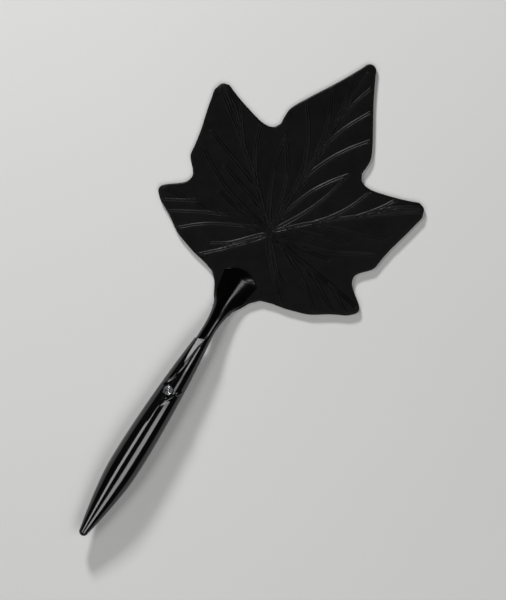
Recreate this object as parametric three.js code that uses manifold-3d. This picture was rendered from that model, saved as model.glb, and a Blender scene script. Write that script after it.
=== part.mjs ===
// A leaf-shaped hand paddle that lies on its back: a five-lobed soft leaf with raised veins, clamped in a slim
// cranked neck on a hollow spindle handle.
//
// Millimetres. +X runs across the leaf, +Y along the handle towards the leaf tip, +Z up out of the front face.
// The origin is the middle of the footprint, on the surface that the paddle lies on.

import * as THREE from "three";
import { mergeVertices } from "three/addons/utils/BufferGeometryUtils.js";
import Module from "manifold-3d";

const wasm = await Module();
wasm.setup();

// Whole object
const LENGTH = 340;
const BUTT_Y = -LENGTH / 2;
const TIP_Y = LENGTH / 2;
const FAR = 200; // half size of a cutting block, past every edge of the object
const WELD = 1e-4; // vertices closer than this are one

// Leaf: two soft skins with a springy plastic plate between them
const BACK_FACE = 1.0; // floor of the back skin under the core plate
const CORE_THICKNESS = 0.8;
const FRONT_FACE = 1.2;
const CORE_TOP = BACK_FACE + CORE_THICKNESS;
const LEAF_TOP = CORE_TOP + FRONT_FACE;
const EDGE_CHAMFER = 0.5;
const TIP_RADIUS = 4;
const CORE_SCALE = 0.86; // the core plate's outline is the leaf's, drawn in towards the hub
const HUB = new THREE.Vector2(0, 49); // where the main veins meet
const ROOT_END_Y = -8; // the leaf stops here, inside the neck
const OUTLINE_STEPS = 2; // straight pieces for each stretch between two outline points

// Veins
const VEIN_HALF_WIDTH = 1.4;
const VEIN_HEIGHT = 0.6;
const VEIN_SIDES = 6;

// Neck and tongue
const AXIS_Z = 9.7; // height of the handle's axis, which is also its largest radius
const CRANK_START_Y = -30;
const CRANK_END_Y = -2;
const SHOULDER_Y = -28; // where the neck meets the handle
const SHOULDER_SLOPE = 0.434; // the joint line is oblique: it rises this much along Y for each step in X
const TONGUE_CORNER = new THREE.Vector2(11.8, 15.8);
const TONGUE_END_Y = 21;
const CLAMP_START_Y = -11; // the flat plate of the back half begins where the underside of the neck meets z = 0
const RIDGE_START_Y = -12; // the neck's round section starts to turn into the tongue's ridge here
const RIDGE_FULL_Y = 2;
const RIDGE_ROUNDING = 0.55; // roundness of the tongue's ridge, as a part of the half width
const LIP = 0.3; // thickness of the tongue at its edge
const LIP_STEEPNESS = 3.3;
const NECK_SIDES = 24;
const SPIGOT_RADIUS = 3.2;
const SPIGOT_END_Y = -48;
const SPIGOT_OVERLAP = 4; // the spigot runs this far into the neck
const CLEAR = 1; // a cut passes this far through the face that it opens

// Handle
const WALL = 2;
const HANDLE_SIDES = 24;
const BUTT_TIP_RADIUS = 2.9;
const MOUTH_BORE = SPIGOT_RADIUS + 0.3;
const MOUTH_DEPTH_Y = -37; // the bore that holds the spigot ends here and the hollow begins

// Rod and pins
const TANG_RADIUS = 1.8;
const TANG_START_Y = -62;
const TANG_END_Y = -9.6;
const PIN_RADIUS = 0.8;
const NECK_PIN = { y: -18, halfLength: 3.2 };
const HANDLE_PIN = { y: -55, halfLength: 4.8 };
const PIN_BLOCK = { halfWidth: 2.4, innerX: 2.6 };

// Screws and plugs
const YOKE_SCREW = { radius: 1, headRadius: 1.9, headDepth: 0.75, reach: 4.1 };
const YOKE_SCREW_PLACES = {
  yoke_screw_left: [-4.6, 9],
  yoke_screw_right: [4.6, 9],
  yoke_screw_centre: [0, 2.5],
};
const HANDLE_SCREW = { radius: 1, headRadius: 1.9, headDepth: 1.4, seat: 3.2, reach: 2.8 };
const HANDLE_SCREW_PLACES = { upper: -72, middle: -111, lower: -146 };
const BOSS_RADIUS = 2.6;
const ROUND_SIDES = 12;

// Badge
const BADGE = { x: -1.5, y: -66, radius: 3.2, thickness: 0.6, proud: 0.2 };

const GAP = 0.3; // running gap round inlaid and inserted pieces
const SEAM = 0.12; // gap at a closed seam

// Right half of the leaf's edge, from the tip down to the root, in stretches that meet at corners.
const EDGE = {
  centreLobe: [[3.2, 168.6], [6.6, 161.5], [13, 149.5], [19.5, 138.5], [27, 125.5], [29.6, 118.5], [29.4, 110]],
  upperSinus: [[29.4, 110], [31.6, 105.8], [36, 104.2], [43, 104.8], [58, 109], [68.5, 112.9]],
  sideLobeTip: [[68.5, 112.9], [73.2, 111.4], [75, 105.5]],
  sideLobe: [[75, 105.5], [72.3, 93], [69, 80], [67.3, 70], [66.2, 63.5], [62, 58.6]],
  notch: [[62, 58.6], [58.7, 54], [60.2, 48.3], [66, 43.4]],
  lowerLobeTip: [[66, 43.4], [71.3, 39], [71.7, 34.8], [67, 30.3]],
  lowerEdge: [[67, 30.3], [58, 25.6], [48.5, 19.4], [41, 16.5], [32.5, 14], [25, 12.5], [17.5, 10.2]],
  root: [[17.5, 10.2], [12.7, 5.2], [9.2, -1], [6.9, -4.6], [5.7, ROOT_END_Y]],
};

// Veins of the right half, each from its inner end outwards. Those on the left half mirror them.
const MIDRIB = [[0, 49], [0, 80], [0, 110], [0, 140], [0, 164]];
const VEINS = {
  centreBranches: [
    [[0, 80], [2.4, 93], [7.5, 106], [14, 117.5], [23, 129.5]],
    [[0, 104], [2.4, 117], [6.5, 129.5], [14, 144.5]],
    [[0, 128], [2.4, 142], [6.5, 157]],
  ],
  upperLens: [
    [[0, 50], [2, 64], [8, 82], [15, 94.5], [22.5, 104.5]],
    [[0.5, 50], [8, 62.5], [15.5, 78], [20, 92], [22.5, 104.5]],
  ],
  sideRib: [[[0, 49], [21, 69], [45, 89], [72, 108.5]]],
  sideBranches: [
    [[21, 69], [27, 76.5], [34, 88], [40, 104]],
    [[41.5, 86], [49.5, 96.5], [56, 107.5]],
    [[52, 97], [60, 104], [71, 111]],
    [[9, 57.5], [20, 61.5], [33, 65.5], [44, 69]],
    [[20, 68], [31, 72], [46, 77], [63, 83]],
  ],
  middleLens: [
    [[0, 49], [15, 52], [28, 55.5], [42, 60.5], [61, 71]],
    [[0, 49], [15, 50.3], [26, 51.6], [39, 54]],
  ],
  lowerRib: [[[0, 49], [20, 45], [48, 41.5], [69, 38]]],
  lowerBranches: [
    [[10, 46.5], [30, 36.3], [40, 29.8], [49.5, 21.5]],
    [[28, 44], [43, 36.8], [60.5, 27]],
    [[49, 41.3], [58, 36], [66.5, 31.5]],
  ],
  lowerLens: [
    [[0, 48], [8, 40.2], [17, 31], [27, 24.5]],
    [[0, 47], [6.5, 38.5], [18.5, 25.5], [29.5, 15]],
  ],
};

// Half widths [y, x] and top heights [y, z above the neck's centre line] of the neck and tongue.
const NECK_HALF_WIDTH = [
  [-34, 4.4], [-28, 4.3], [-21, 4.15], [-15, 4.5], [-8, 5.7],
  [-2, 7.7], [3, 9.3], [9, 10.4], [24, 13.2],
];
const NECK_RISE = [
  [-34, 4.4], [-28, 4.3], [-21, 4.15], [-15, 4.5], [-6, 5.35],
  [0, 5], [8, 4.2], [13, 3.75], [17, 3.15], [24, 0.2],
];
const NECK_STATIONS = 14;

// Radius of the handle [y, radius] between its round butt tip and its mouth.
const HANDLE_RADIUS = [
  [-167.2, 2.85], [-160, 4.35], [-150, 6.2], [-140, 7.8], [-127, 9.3], [-113, AXIS_Z],
  [-95, 9.4], [-75, 8.5], [-57, 7.4], [-42, 6.1], [-25, 4.4],
];
const HANDLE_STATIONS = 12;

const MATERIALS = {
  leafSkin: { color: 0x0d0d0e, roughness: 0.8, metalness: 0 },
  gloss: { color: 0x050506, roughness: 0.15, metalness: 0 },
  core: { color: 0x3a3b3c, roughness: 0.6, metalness: 0 },
  steel: { color: 0xa7abb0, roughness: 0.3, metalness: 1 },
  plug: { color: 0x101011, roughness: 0.45, metalness: 0 },
  badge: { color: 0x6f7276, roughness: 0.3, metalness: 1 },
};

// Solids

function toSolid(geometry) {
  const bare = geometry.clone();
  bare.deleteAttribute("normal");
  bare.deleteAttribute("uv");
  const merged = mergeVertices(bare, WELD);
  return new wasm.Manifold(
    new wasm.Mesh({
      numProp: 3,
      vertProperties: new Float32Array(merged.attributes.position.array),
      triVerts: new Uint32Array(merged.index.array),
    }),
  );
}

function toGeometry(solid) {
  const mesh = solid.getMesh();
  const geometry = new THREE.BufferGeometry();
  geometry.setAttribute("position", new THREE.BufferAttribute(mesh.vertProperties, 3));
  geometry.setIndex(new THREE.BufferAttribute(mesh.triVerts, 1));
  geometry.computeVertexNormals();
  return geometry;
}

function piece(name, solid, look) {
  const mesh = new THREE.Mesh(toGeometry(solid), new THREE.MeshStandardMaterial(MATERIALS[look]));
  mesh.name = name;
  return mesh;
}

function block(x0, x1, y0, y1, z0, z1) {
  const box = new THREE.BoxGeometry(x1 - x0, y1 - y0, z1 - z0);
  box.translate((x0 + x1) / 2, (y0 + y1) / 2, (z0 + z1) / 2);
  return toSolid(box);
}

function above(z) {
  return block(-FAR, FAR, -FAR, FAR, z, FAR);
}

// Upright round bar, between two heights.
function post(x, y, z0, z1, radius, topRadius = radius) {
  const bar = new THREE.CylinderGeometry(topRadius, radius, z1 - z0, ROUND_SIDES);
  bar.rotateX(Math.PI / 2);
  bar.translate(x, y, (z0 + z1) / 2);
  return toSolid(bar);
}

// Round bar across the object, centred on X = 0.
function crossBar(y, z, halfLength, radius) {
  const bar = new THREE.CylinderGeometry(radius, radius, 2 * halfLength, ROUND_SIDES);
  bar.rotateZ(Math.PI / 2);
  bar.translate(0, y, z);
  return toSolid(bar);
}

// Outline in X and Y, raised from z0 to z1.
function slab(shape, z0, z1) {
  const solid = new THREE.ExtrudeGeometry(shape, { depth: z1 - z0, bevelEnabled: false, curveSegments: 4 });
  solid.translate(0, 0, z0);
  return toSolid(solid);
}

// A piece of the space over an oblique plane y = offset + SHOULDER_SLOPE * x, on the leaf's side of the joint.
function leafSideOfShoulder(offset) {
  const shape = new THREE.Shape([
    new THREE.Vector2(-FAR, offset - FAR * SHOULDER_SLOPE),
    new THREE.Vector2(FAR, offset + FAR * SHOULDER_SLOPE),
    new THREE.Vector2(FAR, 2 * FAR),
    new THREE.Vector2(-FAR, 2 * FAR),
  ]);
  return slab(shape, -FAR, FAR);
}

// Smooth value at y of a list of [y, value] stations.
function along(stations, y) {
  const curve = new THREE.SplineCurve(stations.map(([a, b]) => new THREE.Vector2(a, b)));
  let low = 0;
  let high = 1;
  for (let i = 0; i < 30; i++) {
    const middle = (low + high) / 2;
    if (curve.getPoint(middle).x < y) low = middle;
    else high = middle;
  }
  return curve.getPoint(low).y;
}

// Leaf

function mirrored(points) {
  return points.map(([x, y]) => [-x, y]);
}

// Right half of the edge as a fine list of points, from just beside the tip to the root.
function rightEdge() {
  const points = [];
  for (const stretch of Object.values(EDGE)) {
    const curve = new THREE.SplineCurve(stretch.map(([x, y]) => new THREE.Vector2(x, y)));
    const fine = curve.getPoints((stretch.length - 1) * OUTLINE_STEPS);
    points.push(...(points.length ? fine.slice(1) : fine));
  }
  return points;
}

function tipArc() {
  const [x, y] = EDGE.centreLobe[0];
  const centreY = TIP_Y - TIP_RADIUS;
  const start = Math.atan2(y - centreY, x);
  const steps = 4;
  const arc = [];
  for (let i = 1; i < steps; i++) {
    const angle = start + ((Math.PI - 2 * start) * i) / steps;
    arc.push(new THREE.Vector2(TIP_RADIUS * Math.cos(angle), centreY + TIP_RADIUS * Math.sin(angle)));
  }
  return arc;
}

// The whole edge, anticlockwise from the right side of the root.
function leafOutline() {
  const right = rightEdge();
  const left = right.map((p) => new THREE.Vector2(-p.x, p.y));
  return [...right.slice().reverse(), ...tipArc(), ...left];
}

// The leaf drawn in towards its hub, for the core plate. Its root ends just inside the clamp.
function coreOutline(grow) {
  const scale = CORE_SCALE + grow / HUB.y;
  return leafOutline().map((p) => p.clone().sub(HUB).multiplyScalar(scale).add(HUB));
}

function screwHoles(radius) {
  const holes = Object.values(YOKE_SCREW_PLACES).map(([x, y]) => post(x, y, -CLEAR, LEAF_TOP + CLEAR, radius));
  return wasm.Manifold.union(holes);
}

function vein(points) {
  const z = LEAF_TOP;
  const path = new THREE.CatmullRomCurve3(points.map(([x, y]) => new THREE.Vector3(x, y, z)));
  const section = new THREE.Shape();
  for (let i = 0; i < VEIN_SIDES; i++) {
    const angle = (2 * Math.PI * (i + 0.5)) / VEIN_SIDES;
    const across = VEIN_HALF_WIDTH * Math.cos(angle);
    const up = VEIN_HEIGHT * Math.sin(angle);
    if (i) section.lineTo(up, across);
    else section.moveTo(up, across);
  }
  section.closePath();
  const steps = points.length + 1;
  return toSolid(new THREE.ExtrudeGeometry(section, { steps, bevelEnabled: false, extrudePath: path }));
}

function allVeins() {
  const right = Object.values(VEINS).flat();
  const lines = [MIDRIB, ...right, ...right.map(mirrored)];
  return wasm.Manifold.union(lines.map(vein));
}

function leafSlab(z0, z1) {
  return slab(new THREE.Shape(leafOutline()), z0, z1);
}

// The slab loses EDGE_CHAMFER of its outer edge over the same height, on the side away from the core.
function chamferedLeaf(z0, z1, upwards) {
  const depth = 2 * (z1 - z0 - EDGE_CHAMFER);
  const full = new THREE.ExtrudeGeometry(new THREE.Shape(leafOutline()), {
    depth,
    bevelThickness: EDGE_CHAMFER,
    bevelSize: EDGE_CHAMFER,
    bevelOffset: -EDGE_CHAMFER,
    bevelSegments: 1,
  });
  const inner = upwards ? z0 : z1;
  full.translate(0, 0, inner - depth / 2);
  const half = above(inner);
  return upwards ? toSolid(full).intersect(half) : toSolid(full).subtract(half);
}

function leafFrontSkin() {
  const skin = chamferedLeaf(CORE_TOP, LEAF_TOP, true);
  const inside = leafSlab(CORE_TOP, LEAF_TOP + VEIN_HEIGHT);
  const veins = allVeins().intersect(inside);
  return skin.add(veins).subtract(screwHoles(YOKE_SCREW.radius + GAP));
}

function leafCorePlate() {
  const plate = slab(new THREE.Shape(coreOutline(0)), BACK_FACE, CORE_TOP);
  return plate.subtract(screwHoles(YOKE_SCREW.radius + GAP));
}

function leafBackSkin() {
  const skin = chamferedLeaf(0, CORE_TOP, false);
  const pocket = slab(new THREE.Shape(coreOutline(GAP / CORE_SCALE)), BACK_FACE, LEAF_TOP);
  const clampWindow = slab(tongueShape(GAP), -CLEAR, LEAF_TOP);
  return skin.subtract(pocket).subtract(clampWindow);
}

// Neck and tongue

function centreZ(y) {
  const t = THREE.MathUtils.smoothstep(y, CRANK_START_Y, CRANK_END_Y);
  return AXIS_Z + (LEAF_TOP - AXIS_Z) * t;
}

// Outline of the tongue: the flare of the neck, ending in a shallow arch between two corners.
function tongueShape(grow) {
  const endY = TONGUE_END_Y + grow;
  const cornerX = TONGUE_CORNER.x + grow;
  const rise = TONGUE_END_Y - TONGUE_CORNER.y;
  const radius = (cornerX ** 2 + rise ** 2) / (2 * rise);
  const half = Math.asin(cornerX / radius);
  const shape = new THREE.Shape();
  const flare = [];
  const steps = 8;
  for (let i = 0; i <= steps; i++) {
    const y = THREE.MathUtils.lerp(SPIGOT_END_Y / 2, TONGUE_CORNER.y, i / steps);
    flare.push([along(NECK_HALF_WIDTH, y) + grow, y]);
  }
  flare[steps] = [cornerX, endY - rise];
  shape.moveTo(-flare[0][0], flare[0][1]);
  for (const [x, y] of flare) shape.lineTo(x, y);
  shape.absarc(0, endY - radius, radius, Math.PI / 2 - half, Math.PI / 2 + half, false);
  for (const [x, y] of flare.reverse()) shape.lineTo(-x, y);
  return shape;
}

// Closed body through rings of points that all have the same count.
function loft(rings) {
  const count = rings[0].length;
  const vertices = rings.flat();
  const faces = [];
  for (let r = 0; r + 1 < rings.length; r++) {
    for (let i = 0; i < count; i++) {
      const a = r * count + i;
      const b = r * count + ((i + 1) % count);
      faces.push(a, b, b + count, a, b + count, a + count);
    }
  }
  const last = (rings.length - 1) * count;
  for (let i = 1; i + 1 < count; i++) {
    faces.push(0, i + 1, i);
    faces.push(last, last + i, last + i + 1);
  }
  const geometry = new THREE.BufferGeometry().setFromPoints(vertices);
  geometry.setIndex(faces);
  return toSolid(geometry);
}

// Height of the front of the neck over its centre line, at an angle up from its right edge. The section is a
// half ellipse at the handle and a ridge between two falling flanks at the leaf.
function crestHeight(y, angle) {
  const rise = along(NECK_RISE, y);
  const fall = Math.hypot(Math.cos(angle), RIDGE_ROUNDING) - RIDGE_ROUNDING;
  const ridge = 1 - fall / (Math.hypot(1, RIDGE_ROUNDING) - RIDGE_ROUNDING);
  const lip = LIP * Math.min(1, LIP_STEEPNESS * Math.sin(angle));
  const blend = THREE.MathUtils.smoothstep(y, RIDGE_START_Y, RIDGE_FULL_Y);
  return THREE.MathUtils.lerp(rise * Math.sin(angle), (rise - LIP) * ridge + lip, blend);
}

function undersideDepth(y, angle) {
  return Math.max(along(NECK_RISE, y), LEAF_TOP) * Math.sin(angle);
}

// The neck and the tongue as one body: sections about the cranked centre line.
function neckBody() {
  const start = NECK_HALF_WIDTH[0][0];
  const end = NECK_HALF_WIDTH.at(-1)[0];
  const rings = [];
  for (let s = 0; s <= NECK_STATIONS; s++) {
    const y = THREE.MathUtils.lerp(start, end, s / NECK_STATIONS);
    const halfWidth = along(NECK_HALF_WIDTH, y);
    const ring = [];
    for (let i = 0; i < NECK_SIDES; i++) {
      const angle = (-2 * Math.PI * i) / NECK_SIDES;
      const height = Math.sin(angle) > 0 ? crestHeight(y, angle) : undersideDepth(y, angle);
      ring.push(new THREE.Vector3(halfWidth * Math.cos(angle), y, centreZ(y) + height));
    }
    rings.push(ring);
  }
  return loft(rings);
}

function tangCurve(startY, endY) {
  const points = [];
  const steps = 8;
  for (let i = 0; i <= steps; i++) {
    const y = THREE.MathUtils.lerp(startY, endY, i / steps);
    points.push(new THREE.Vector3(0, y, centreZ(y)));
  }
  return new THREE.CatmullRomCurve3(points);
}

function rod(radius, startY, endY) {
  const section = new THREE.Shape();
  section.absarc(0, 0, radius, 0, 2 * Math.PI, false);
  const options = { steps: 8, curveSegments: ROUND_SIDES / 2, bevelEnabled: false };
  options.extrudePath = tangCurve(startY, endY);
  return toSolid(new THREE.ExtrudeGeometry(section, options));
}

// Everything over the seam between the two halves: it follows the rod, then the top of the leaf.
function overSeam(drop) {
  const startY = SPIGOT_END_Y - CLEAR;
  const shape = new THREE.Shape();
  shape.moveTo(startY, FAR);
  const steps = 16;
  for (let i = 0; i <= steps; i++) {
    const y = THREE.MathUtils.lerp(startY, ROOT_END_Y - GAP, i / steps);
    shape.lineTo(y, centreZ(y) - drop);
  }
  shape.lineTo(ROOT_END_Y - GAP, LEAF_TOP);
  shape.lineTo(FAR, LEAF_TOP);
  shape.lineTo(FAR, FAR);
  shape.closePath();
  const prism = new THREE.ExtrudeGeometry(shape, { depth: 2 * FAR, bevelEnabled: false });
  prism.rotateX(Math.PI / 2);
  prism.rotateZ(Math.PI / 2);
  prism.translate(-FAR, 0, 0);
  return toSolid(prism);
}

function spigot() {
  const startY = SHOULDER_Y + SPIGOT_OVERLAP;
  const bar = new THREE.CylinderGeometry(SPIGOT_RADIUS, SPIGOT_RADIUS, startY - SPIGOT_END_Y, NECK_SIDES);
  bar.translate(0, (startY + SPIGOT_END_Y) / 2, AXIS_Z);
  return toSolid(bar);
}

// Neck, tongue and spigot together, with the channel for the rod and the holes for its pin.
function yokeBody() {
  const plan = slab(tongueShape(0), -FAR, FAR).add(block(-FAR, FAR, -FAR, CLAMP_START_Y, -FAR, FAR));
  const outside = neckBody().intersect(leafSideOfShoulder(SHOULDER_Y)).intersect(plan);
  const channel = rod(TANG_RADIUS + GAP, SPIGOT_END_Y - CLEAR, TANG_END_Y + GAP);
  const pinHole = crossBar(NECK_PIN.y, centreZ(NECK_PIN.y), NECK_PIN.halfLength + GAP, PIN_RADIUS + GAP);
  return outside.add(spigot()).intersect(above(0)).subtract(channel).subtract(pinHole);
}

function yokeFront() {
  const holes = Object.values(YOKE_SCREW_PLACES).map(([x, y]) =>
    post(x, y, 0, YOKE_SCREW.reach + GAP, YOKE_SCREW.radius + GAP),
  );
  return yokeBody().intersect(overSeam(0)).subtract(wasm.Manifold.union(holes));
}

function yokeBack() {
  const leafSlot = block(-FAR, FAR, ROOT_END_Y - GAP, FAR, BACK_FACE, FAR);
  const clampPlate = slab(tongueShape(0), 0, BACK_FACE).intersect(block(-FAR, FAR, CLAMP_START_Y, FAR, 0, FAR));
  let half = yokeBody().subtract(overSeam(SEAM)).subtract(leafSlot).add(clampPlate);
  for (const [x, y] of Object.values(YOKE_SCREW_PLACES)) {
    half = half.subtract(post(x, y, -CLEAR, LEAF_TOP, YOKE_SCREW.radius + GAP));
    const seat = post(x, y, 0, YOKE_SCREW.headDepth, YOKE_SCREW.headRadius + GAP, YOKE_SCREW.radius + GAP);
    half = half.subtract(seat);
  }
  return half;
}

function tangRod() {
  const neckHole = crossBar(NECK_PIN.y, centreZ(NECK_PIN.y), 2 * TANG_RADIUS, PIN_RADIUS + GAP);
  const handleHole = crossBar(HANDLE_PIN.y, AXIS_Z, 2 * TANG_RADIUS, PIN_RADIUS + GAP);
  return rod(TANG_RADIUS, TANG_START_Y, TANG_END_Y).subtract(neckHole).subtract(handleHole);
}

// Flat-headed screw that goes up from z = 0.
function yokeScrew([x, y]) {
  const head = post(x, y, 0, YOKE_SCREW.headDepth, YOKE_SCREW.headRadius, YOKE_SCREW.radius);
  return head.add(post(x, y, 0, YOKE_SCREW.reach, YOKE_SCREW.radius));
}

// Handle. Its solids are built about their own axis, and the group lifts them to AXIS_Z.

function handleProfile(grow) {
  const first = HANDLE_RADIUS[0];
  const centreY = BUTT_Y + BUTT_TIP_RADIUS;
  const tip = [];
  const arcSteps = 4;
  for (let i = 0; i < arcSteps; i++) {
    const angle = (Math.PI / 2) * (i / arcSteps);
    const radius = BUTT_TIP_RADIUS + grow;
    tip.push(new THREE.Vector2(radius * Math.sin(angle), centreY - radius * Math.cos(angle)));
  }
  const body = [];
  for (let s = 0; s <= HANDLE_STATIONS; s++) {
    const y = THREE.MathUtils.lerp(first[0], HANDLE_RADIUS.at(-1)[0], s / HANDLE_STATIONS);
    body.push(new THREE.Vector2(along(HANDLE_RADIUS, y) + grow, y));
  }
  return [...tip, ...body];
}

// Solid spindle, grown or shrunk by a distance.
function spindle(grow) {
  const profile = handleProfile(grow);
  const end = profile.at(-1);
  return toSolid(new THREE.LatheGeometry([...profile, new THREE.Vector2(0, end.y)], HANDLE_SIDES));
}

function hollow() {
  const room = spindle(-WALL).intersect(block(-FAR, FAR, BUTT_Y + 3 * WALL, MOUTH_DEPTH_Y, -FAR, FAR));
  const bore = new THREE.CylinderGeometry(MOUTH_BORE, MOUTH_BORE, FAR, HANDLE_SIDES);
  bore.translate(0, MOUTH_DEPTH_Y + FAR / 2 - CLEAR, 0);
  return room.add(toSolid(bore));
}

function handleBody() {
  return spindle(0).subtract(hollow()).subtract(leafSideOfShoulder(SHOULDER_Y - SEAM));
}

function bosses() {
  const posts = Object.values(HANDLE_SCREW_PLACES).map((y) => post(0, y, -AXIS_Z, AXIS_Z, BOSS_RADIUS));
  return wasm.Manifold.union(posts).intersect(spindle(-WALL / 2));
}

// Blocks on both walls that hold the ends of the cross pin.
function pinBlocks() {
  const { y } = HANDLE_PIN;
  const { halfWidth, innerX } = PIN_BLOCK;
  const both = block(-FAR, FAR, y - halfWidth, y + halfWidth, -halfWidth, halfWidth);
  const middle = block(-innerX, innerX, -FAR, FAR, -FAR, FAR);
  const hole = crossBar(y, 0, HANDLE_PIN.halfLength + GAP, PIN_RADIUS + GAP);
  return both.subtract(middle).intersect(spindle(-WALL / 2)).subtract(hole);
}

function badgePost(radius) {
  return post(BADGE.x, BADGE.y, 0, 2 * AXIS_Z, radius);
}

function handleFrontShell() {
  let shell = handleBody().add(bosses()).add(pinBlocks()).intersect(above(0));
  for (const y of Object.values(HANDLE_SCREW_PLACES)) {
    shell = shell.subtract(post(0, y, -CLEAR, HANDLE_SCREW.reach + GAP, HANDLE_SCREW.radius + GAP));
  }
  const recess = badgePost(BADGE.radius + GAP).subtract(spindle(-BADGE.thickness - GAP));
  return shell.subtract(recess);
}

function handleBackShell() {
  let shell = handleBody().add(bosses()).add(pinBlocks()).subtract(above(-SEAM));
  for (const y of Object.values(HANDLE_SCREW_PLACES)) {
    shell = shell.subtract(post(0, y, -FAR, CLEAR, HANDLE_SCREW.radius + GAP));
    shell = shell.subtract(post(0, y, -FAR, -HANDLE_SCREW.seat, HANDLE_SCREW.headRadius + GAP));
  }
  return shell;
}

function handleScrew(y) {
  const { radius, headRadius, headDepth, seat, reach } = HANDLE_SCREW;
  return post(0, y, -seat - headDepth, -seat, headRadius).add(post(0, y, -seat - headDepth, reach, radius));
}

function screwPlug(y) {
  const top = -HANDLE_SCREW.seat - HANDLE_SCREW.headDepth - GAP;
  return post(0, y, -FAR, top, HANDLE_SCREW.headRadius).intersect(spindle(0));
}

function emblemBadge() {
  const layer = spindle(BADGE.proud).subtract(spindle(-BADGE.thickness));
  return badgePost(BADGE.radius).intersect(layer);
}

// Assembly

function leafGroup() {
  const group = new THREE.Group();
  group.add(piece("leaf_front_skin", leafFrontSkin(), "leafSkin"));
  group.add(piece("leaf_core_plate", leafCorePlate(), "core"));
  group.add(piece("leaf_back_skin", leafBackSkin(), "leafSkin"));
  return group;
}

function yokeGroup() {
  const group = new THREE.Group();
  group.add(piece("yoke_front", yokeFront(), "gloss"));
  group.add(piece("yoke_back", yokeBack(), "gloss"));
  group.add(piece("tang_rod", tangRod(), "steel"));
  const neckPin = crossBar(NECK_PIN.y, centreZ(NECK_PIN.y), NECK_PIN.halfLength, PIN_RADIUS);
  group.add(piece("neck_cross_pin", neckPin, "steel"));
  for (const [name, place] of Object.entries(YOKE_SCREW_PLACES)) {
    group.add(piece(name, yokeScrew(place), "steel"));
  }
  return group;
}

function handleGroup() {
  const group = new THREE.Group();
  group.position.z = AXIS_Z;
  group.add(piece("handle_front_shell", handleFrontShell(), "gloss"));
  group.add(piece("handle_back_shell", handleBackShell(), "gloss"));
  group.add(piece("handle_cross_pin", crossBar(HANDLE_PIN.y, 0, HANDLE_PIN.halfLength, PIN_RADIUS), "steel"));
  group.add(piece("emblem_badge", emblemBadge(), "badge"));
  for (const [place, y] of Object.entries(HANDLE_SCREW_PLACES)) {
    group.add(piece("handle_screw_" + place, handleScrew(y), "steel"));
    group.add(piece("screw_plug_" + place, screwPlug(y), "plug"));
  }
  return group;
}

const paddle = new THREE.Group();
paddle.add(leafGroup(), yokeGroup(), handleGroup());

export default paddle;
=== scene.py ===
# Looks of the leaf-shaped hand paddle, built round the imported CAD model.
# Lengths are worked out in millimetres in the CAD frame and turned into metres when a mesh is made.
# +X runs across the leaf, +Y along the handle towards the leaf tip, +Z up out of the front face.
import math

import bmesh
import bpy
import numpy as np
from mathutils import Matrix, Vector
from mathutils.geometry import delaunay_2d_cdt


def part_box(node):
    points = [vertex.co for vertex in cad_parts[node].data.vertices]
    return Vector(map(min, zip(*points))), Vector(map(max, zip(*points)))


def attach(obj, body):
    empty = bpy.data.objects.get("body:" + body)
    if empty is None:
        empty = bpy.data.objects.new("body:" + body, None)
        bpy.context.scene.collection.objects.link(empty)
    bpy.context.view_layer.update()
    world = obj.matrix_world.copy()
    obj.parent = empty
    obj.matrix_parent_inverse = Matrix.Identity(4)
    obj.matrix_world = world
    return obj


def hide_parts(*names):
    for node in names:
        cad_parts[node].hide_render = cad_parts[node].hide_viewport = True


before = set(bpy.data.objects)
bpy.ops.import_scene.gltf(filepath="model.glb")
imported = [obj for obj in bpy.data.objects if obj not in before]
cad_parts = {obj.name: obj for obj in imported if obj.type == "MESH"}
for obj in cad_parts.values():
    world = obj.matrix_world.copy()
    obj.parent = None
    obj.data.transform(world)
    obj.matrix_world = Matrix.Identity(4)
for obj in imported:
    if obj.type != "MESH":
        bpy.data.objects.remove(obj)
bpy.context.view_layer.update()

MM = 0.001


def node_box(name):
    low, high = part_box(name)
    return np.array(low) / MM, np.array(high) / MM


# Heights and lengths from the frame
SKIN_LOW, SKIN_HIGH = node_box("leaf_front_skin")
HANDLE_LOW = node_box("handle_front_shell")[0]
CORE_TOP = SKIN_LOW[2]
AXIS_Z = HANDLE_LOW[2]
BUTT_Y = HANDLE_LOW[1]
VEIN_HEIGHT = 0.6
CAD_VEIN_SHARE = 0.87  # the plain veins of the CAD skin reach this much of the height
LEAF_TOP = SKIN_HIGH[2] - VEIN_HEIGHT * CAD_VEIN_SHARE
CLAMP_TOP = node_box("leaf_core_plate")[0][2]

# ---------------------------------------------------------------- curves


def catmull(points, step):
    """Points about one step apart on a smooth curve through the given ones."""
    p = np.array(points, float)
    p = np.vstack([2 * p[0] - p[1], p, 2 * p[-1] - p[-2]])
    out = []
    for a, b, c, d in zip(p[:-3], p[1:-2], p[2:-1], p[3:]):
        count = max(1, int(np.ceil(np.linalg.norm(c - b) / step)))
        t = (np.arange(count) / count)[:, None]
        square = 2 * a - 5 * b + 4 * c - d
        cube = 3 * b - a - 3 * c + d
        out.append(0.5 * (2 * b + (c - a) * t + square * t**2 + cube * t**3))
    out.append(p[-2][None])
    return np.vstack(out)


def smooth_table(stations, at):
    """Smooth values at 'at' of a list of (position, value) stations."""
    curve = catmull(sorted(stations), 0.25)
    return np.interp(at, curve[:, 0], curve[:, 1])


def smoothstep(x, low, high):
    """A smooth climb from 0 at low to 1 at high."""
    t = np.clip((x - low) / (high - low), 0, 1)
    return t * t * (3 - 2 * t)


def bump(x, width):
    """A smooth rise to 1 where x is 0."""
    return np.exp(-((x / width) ** 2))


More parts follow.
